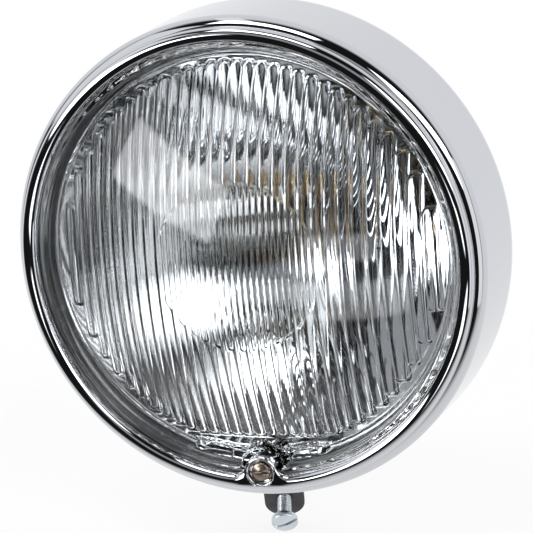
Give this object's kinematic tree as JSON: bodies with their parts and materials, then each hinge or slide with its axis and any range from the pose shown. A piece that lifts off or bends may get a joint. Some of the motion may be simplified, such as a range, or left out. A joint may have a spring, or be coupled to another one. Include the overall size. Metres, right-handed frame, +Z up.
{
  "type": "round motorcycle headlight",
  "caption": "Round motorcycle headlight: chromed rim with a rolled bead, pressed fluted lens, reflector and bulb, aiming screw in front and clamp screw below.",
  "frame": {"origin": "on the lamp's axis, in the plane of the rim's rear edge, where it seats on the lamp shell", "axes": "-Y the way the lamp shines, +Z up, +X to the right as seen from the front"},
  "size_m": [0.1716, 0.1101, 0.1917],
  "materials": {
    "rim_chrome": "bright plated",
    "lens_glass": "clear pressed glass",
    "mirror": "aluminised",
    "seal_rubber": "matt",
    "zinc": "zinc plated",
    "dark_steel": "phosphated",
    "spring_steel": "satin",
    "nickel_screw": "worn nickel",
    "brass": "plain",
    "bulb_glass": "clear blown glass",
    "filament": "drawn wire",
    "black_plastic": "moulded"
  },
  "bodies": {
    "root": {"rim": "rim_chrome", "inner_ring": "zinc", "top_hook": "spring_steel", "hook_rivets": "zinc", "clamp_bracket": "dark_steel", "clamp_nut": "zinc", "clamp_screw": "zinc", "aim_screw": "nickel_screw", "aim_spring": "spring_steel", "aim_lug": "zinc", "aim_nut": "zinc", "lens": "lens_glass", "lens_seal": "seal_rubber", "reflector": "mirror", "clip_1": "spring_steel", "clip_2": "spring_steel", "clip_3": "spring_steel", "clip_4": "spring_steel", "clip_5": "spring_steel", "clip_6": "spring_steel", "neck_collar": "zinc", "bulb_glass": "bulb_glass", "bulb_cap": "brass", "bulb_flange": "brass", "bulb_insulator": "black_plastic", "bulb_contacts": "zinc", "main_filament": "filament", "dip_filament": "filament", "dip_shield": "filament", "filament_supports": "filament", "bulb_holder": "black_plastic", "contact_1": "brass", "contact_2": "brass", "contact_3": "brass", "pilot_socket": "zinc", "pilot_bulb_glass": "bulb_glass", "pilot_bulb_cap": "brass", "pilot_terminal": "brass"}
  },
  "joints": []
}
